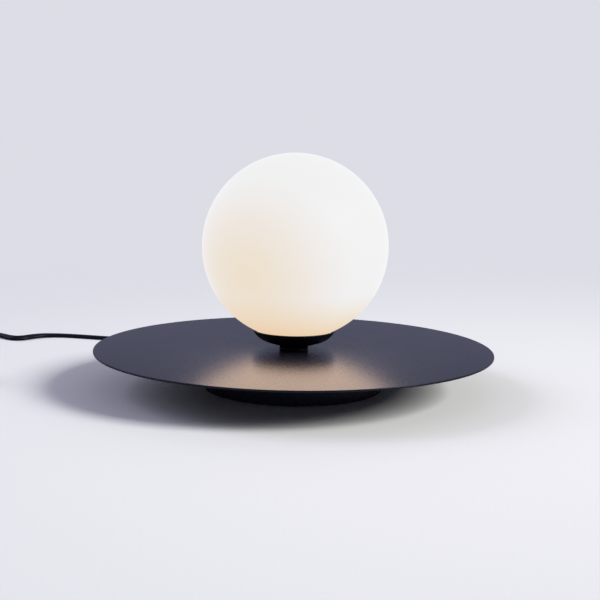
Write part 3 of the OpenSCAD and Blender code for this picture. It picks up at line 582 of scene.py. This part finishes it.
def add_switch_cap():
    """Crowned cap with its edge rounded over, open where the rocker comes through."""
    low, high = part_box("switch_cover")
    centre = (low + high) / 2
    half_width = high.x - centre.x
    straight = high.y - centre.y - half_width
    corner = math.atan2(SWITCH_WINDOW[1], SWITCH_WINDOW[0])
    corners = [corner, math.pi - corner, math.pi + corner, 2 * math.pi - corner]
    angles = sorted(around(SWITCH_SEGMENTS, 0.5) + corners)

    def ring(reach, height, crowned=True):
        points = []
        for angle in angles:
            x, y = reach(angle) * math.cos(angle), reach(angle) * math.sin(angle)
            drop = SWITCH_CROWN - math.sqrt(SWITCH_CROWN ** 2 - x * x) if crowned else 0.0
            points.append((centre.x + x, centre.y + y, height - drop))
        return points

    def outside(inset):
        return lambda angle: stadium_reach(angle, half_width - inset, straight)

    def window(grow):
        return lambda angle: window_reach(angle, grow)

    roof = high.z - SWITCH_ROOF
    edge = arc((-SWITCH_EDGE, high.z - SWITCH_EDGE), SWITCH_EDGE, 0, 90, SWITCH_EDGE_STEPS)
    rings = [ring(outside(0.0), low.z, False)]
    rings += [ring(outside(-x), z) for x, z in edge]
    rings += [ring(window(SWITCH_BEVEL), high.z), ring(window(0.0), high.z - SWITCH_BEVEL)]
    rings += [ring(window(0.0), roof, False), ring(outside(SWITCH_WALL), roof, False)]
    rings += [ring(outside(SWITCH_WALL), low.z, False)]
    stand_for(add_rings("switch_cap", rings, True), "switch_cover")


def add_plug_shell():
    """Flat plug with slanted flanks that narrows towards its cord, all edges soft."""
    low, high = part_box("plug_body")
    centre = (low + high) / 2
    half_width, half_thick = high.x - centre.x, high.z - centre.z
    length = high.y - low.y
    flank = Vector((half_thick, PLUG_FLANK)).normalized()

    def width_at(along):
        part = min(max((along - PLUG_SHOULDER) / (length - PLUG_SHOULDER), 0.0), 1.0)
        return half_width + part * (PLUG_REAR - half_width)

    def reach(angle, width):
        across, up = abs(math.cos(angle)), abs(math.sin(angle))
        slant = (flank.x * across + flank.y * up) / (flank.x * half_width)
        sides = (across / width, up / half_thick, slant)
        return sum(side ** PLUG_SQUARENESS for side in sides) ** (-1 / PLUG_SQUARENESS)

    turns = [math.pi / 2 * i / PLUG_EDGE_STEPS for i in range(PLUG_EDGE_STEPS + 1)]
    lip = [(PLUG_EDGE - PLUG_EDGE * math.sin(a), PLUG_EDGE - PLUG_EDGE * math.cos(a)) for a in turns]
    between = length - 2 * PLUG_EDGE
    stations = [(along, inset) for inset, along in lip]
    stations += [(PLUG_EDGE + between * i / PLUG_LENGTH_STEPS, 0.0) for i in range(1, PLUG_LENGTH_STEPS)]
    stations += [(length - along, inset) for inset, along in reversed(lip)]
    rings = []
    for along, inset in stations:
        width = (width_at(along - PLUG_EASE) + 2 * width_at(along) + width_at(along + PLUG_EASE)) / 4
        reaches = [(a, reach(a, width) - inset) for a in around(PLUG_SEGMENTS)]
        rings.append([(centre.x + r * math.cos(a), low.y + along, centre.z + r * math.sin(a))
                      for a, r in reaches])
    stand_for(add_rings("plug_shell", rings, False), "plug_body")


def add_cord():
    route = (smooth_route(LEAD_POINTS) + smooth_route(RUN_POINTS) + coil_route()
             + smooth_route(TAIL_POINTS))
    piece = sweep("power_cord", route, flat_section())
    stand_for(piece, "cord_lead", "cord_run", "cord_coil", "cord_tail")


add_switch_cap()
add_plug_shell()
add_cord()


# Main forms
INSIDE_GLOBE = ("bulb_base", "bulb_pins", "bulb_core", "bulb_chips", "bulb_envelope", "lamp_socket",
                "socket_contacts", "socket_screws", "socket_bracket", "upper_nut", "lamp_leads")


def add_disc():
    outline = [(STEM_HOLE, disc_low.z), (disc_radius, disc_low.z), (disc_radius, disc_high.z),
               (STEM_HOLE, disc_high.z)]
    stand_for(lathe("disc_plate", filleted(outline, DISC_EDGE), True), "base_disc")


def add_neck():
    """Slightly waisted spacer, in a duller copy of the disc's coat: painted shade under the cup."""
    height = neck_high.z - neck_low.z
    radius = (height * height / 4 + NECK_WAIST * NECK_WAIST) / (2 * NECK_WAIST)
    swing = math.degrees(math.asin(height / 2 / radius))
    centre = (NECK_RADIUS - NECK_WAIST + radius, neck_low.z + height / 2)
    waist = arc(centre, radius, 180 + swing, 180 - swing, WAIST_STEPS)
    outline = [(STEM_HOLE, neck_low.z), *waist, (STEM_HOLE, neck_high.z)]
    neck = stand_for(lathe("turned_neck", outline, True), "neck_spacer")
    # A duller copy of the coat, darker as painted shade where the cup above shades the neck
    neck.data.materials[0] = black_material("coat_dulled_for_shade", gloss=0.08, grain=COAT_GRAIN, sky_sheen_blue=COAT_SHEEN_BLUE)


def add_cup():
    """Flat foot, cone and curved side, with the rim rounded over."""
    height = cup_high.z - cup_low.z
    slope = math.atan2(CUP_CONE_RISE, CUP_CONE_RADIUS - NECK_RADIUS)
    chord = Vector((cup_high.y - CUP_CONE_RADIUS, height - CUP_CONE_RISE))
    radius = chord.length / (2 * math.sin(math.atan2(chord.y, chord.x) - slope))
    middle = radius - CUP_WALL / 2
    centre = (CUP_CONE_RADIUS - radius * math.sin(slope),
              cup_low.z + CUP_CONE_RISE + radius * math.cos(slope))
    rim = math.asin((cup_high.z - CUP_WALL / 2 - centre[1]) / middle)
    rim_centre = (centre[0] + middle * math.cos(rim), centre[1] + middle * math.sin(rim))
    start = math.degrees(slope) - 90
    end = math.degrees(rim)
    outside = arc(centre, radius, start, end, CUP_STEPS)
    lip = arc(rim_centre, CUP_WALL / 2, end, end + 180, CUP_LIP_STEPS)
    inside = arc(centre, radius - CUP_WALL, end, start, CUP_STEPS)
    foot_inside = NECK_RADIUS - CUP_WALL * math.tan(slope / 2)
    outline = [(STEM_HOLE, cup_low.z), (NECK_RADIUS, cup_low.z), *outside, *lip[1:-1], *inside,
               (foot_inside, cup_low.z + CUP_WALL), (STEM_HOLE, cup_low.z + CUP_WALL)]
    stand_for(lathe("spun_cup", outline, True), "globe_cup")


def add_globe():
    """Blown shell, open at its screwed neck; being lit, it throws no shadow."""
    inner = globe_radius - GLOBE_WALL
    low_outer = -math.degrees(math.acos(GLOBE_NECK_OUTER / globe_radius))
    low_inner = -math.degrees(math.acos(GLOBE_NECK_INNER / inner))
    neck_end = filleted([(GLOBE_NECK_OUTER, globe_low.z), (GLOBE_NECK_INNER, globe_low.z),
                         (GLOBE_NECK_INNER, globe_low.z + GLOBE_WALL),
                         (GLOBE_NECK_OUTER, globe_low.z + GLOBE_WALL)], GLOBE_LIP)
    lip = neck_end[:2 * (FILLET_STEPS + 1)]
    outline = [*arc((0, globe_centre), globe_radius, 90, low_outer, GLOBE_OUTER_STEPS), *lip,
               *arc((0, globe_centre), inner, low_inner, 90, GLOBE_INNER_STEPS)]
    globe = stand_for(lathe("opal_globe", outline, False), "glass_globe")
    globe.visible_shadow = False
    for name in INSIDE_GLOBE:
        nodes[name].visible_shadow = False


add_disc()
add_neck()
add_cup()
add_globe()


# Stage: colours that the camera sees, that gloss mirrors and that light the rest
BACKGROUND = (0.72, 0.72, 0.79)
SHEEN = (0.66, 0.70, 1.0)
AMBIENT = (0.22, 0.22, 0.275)

# Floor: its reach and the distances between which it fades, in metres, and its finish
FLOOR_REACH = 5.0
FADE_START = 0.28
FADE_END = 0.9
FLOOR_COLOUR = (0.80, 0.80, 0.79)
FLOOR_ROUGH = 0.8
FLOOR_SPECULAR = 0.05
FLOOR_GRAIN = 320.0
FLOOR_STRENGTH = 0.25
FLOOR_DEPTH = 0.3 * MM

# Lights: a broad window on the right, a cool fill from the left and the globe, in metres and watts
WINDOW_PLACE = (4.29, -1.73, 2.78)
WINDOW_POWER = 367.0
WINDOW_SIZE = (2.2, 1.9)
WINDOW_COLOUR = (1.0, 0.995, 0.965)
FILL_PLACE = (-3.96, 1.06, 2.87)
FILL_POWER = 92.0
FILL_SIZE = (3.0, 3.0)
FILL_COLOUR = (0.74, 0.74, 1.0)
GLOW_HALO = 15 * MM
GLOW_LIFT = 15.5 * MM
GLOW_POWER = 1.65
GLOW_COLOUR = (1.0, 0.71, 0.53)


def add_floor():
    """A pale floor that fades into the background, so that no horizon shows."""
    rim = [(FLOOR_REACH * math.cos(a), FLOOR_REACH * math.sin(a), 0.0) for a in around(FLOOR_SEGMENTS)]
    floor = add_mesh("floor", rim, [tuple(range(FLOOR_SEGMENTS))])
    material, tree, shader = new_material("pale_floor")
    shader.inputs["Base Color"].default_value = (*FLOOR_COLOUR, 1.0)
    shader.inputs["Roughness"].default_value = FLOOR_ROUGH
    shader.inputs["Specular IOR Level"].default_value = FLOOR_SPECULAR
    bump(tree, shader, noise(tree, FLOOR_GRAIN), FLOOR_STRENGTH, FLOOR_DEPTH)
    coords = tree.nodes.new("ShaderNodeTexCoord")
    reach = tree.nodes.new("ShaderNodeVectorMath")
    reach.operation = "LENGTH"
    link(tree, coords.outputs["Object"], reach.inputs[0])
    fade = tree.nodes.new("ShaderNodeMapRange")
    fade.interpolation_type = "SMOOTHSTEP"
    fade.inputs["From Min"].default_value = FADE_START
    fade.inputs["From Max"].default_value = FADE_END
    link(tree, reach.outputs["Value"], fade.inputs["Value"])
    glow = tree.nodes.new("ShaderNodeEmission")
    glow.inputs["Color"].default_value = (*BACKGROUND, 1.0)
    blend(tree, fade.outputs["Result"], shader.outputs["BSDF"], glow.outputs["Emission"])
    floor.data.materials.append(material)


def add_world():
    """The camera sees the background, gloss mirrors the sheen, and the ambient light falls on the rest."""
    world = bpy.data.worlds.new("studio")
    world.use_nodes = True
    tree = world.node_tree
    sky = tree.nodes["Background"]
    rays = tree.nodes.new("ShaderNodeLightPath")
    mirrored = tree.nodes.new("ShaderNodeMixRGB")
    mirrored.inputs["Color1"].default_value = (*AMBIENT, 1.0)
    mirrored.inputs["Color2"].default_value = (*SHEEN, 1.0)
    link(tree, rays.outputs["Is Glossy Ray"], mirrored.inputs["Fac"])
    seen = tree.nodes.new("ShaderNodeMixRGB")
    seen.inputs["Color2"].default_value = (*BACKGROUND, 1.0)
    link(tree, rays.outputs["Is Camera Ray"], seen.inputs["Fac"])
    link(tree, mirrored.outputs["Color"], seen.inputs["Color1"])
    link(tree, seen.outputs["Color"], sky.inputs["Color"])
    bpy.context.scene.world = world


def new_light(name, kind, place, power, colour):
    data = bpy.data.lights.new(name, kind)
    data.energy = power
    data.color = colour
    light = bpy.data.objects.new(name, data)
    light.location = place
    light.visible_camera = False
    bpy.context.scene.collection.objects.link(light)
    return light


def add_panel(name, place, power, size, colour):
    """A rectangular light that faces the middle of the floor."""
    light = new_light(name, "AREA", place, power, colour)
    light.data.shape = "RECTANGLE"
    light.data.size, light.data.size_y = size
    light.rotation_euler = (-Vector(place)).to_track_quat("-Z", "Y").to_euler()


def add_globe_glow():
    """The globe's own light on the metal, a little wider and higher than the glass, as its halo is."""
    glow = new_light("globe_glow", "POINT", (0, 0, globe_centre + GLOW_LIFT), GLOW_POWER, GLOW_COLOUR)
    glow.data.shadow_soft_size = globe_radius + GLOW_HALO
    glow.data.use_soft_falloff = False
    lit = bpy.data.collections.new("lit_by_globe")
    for name in ("disc_plate", "base_drum"):
        lit.objects.link(bpy.data.objects[name])
    glow.light_linking.receiver_collection = lit


add_floor()
add_world()
add_panel("window", WINDOW_PLACE, WINDOW_POWER, WINDOW_SIZE, WINDOW_COLOUR)
add_panel("fill", FILL_PLACE, FILL_POWER, FILL_SIZE, FILL_COLOUR)
add_globe_glow()
bpy.context.scene.view_settings.view_transform = "Standard"
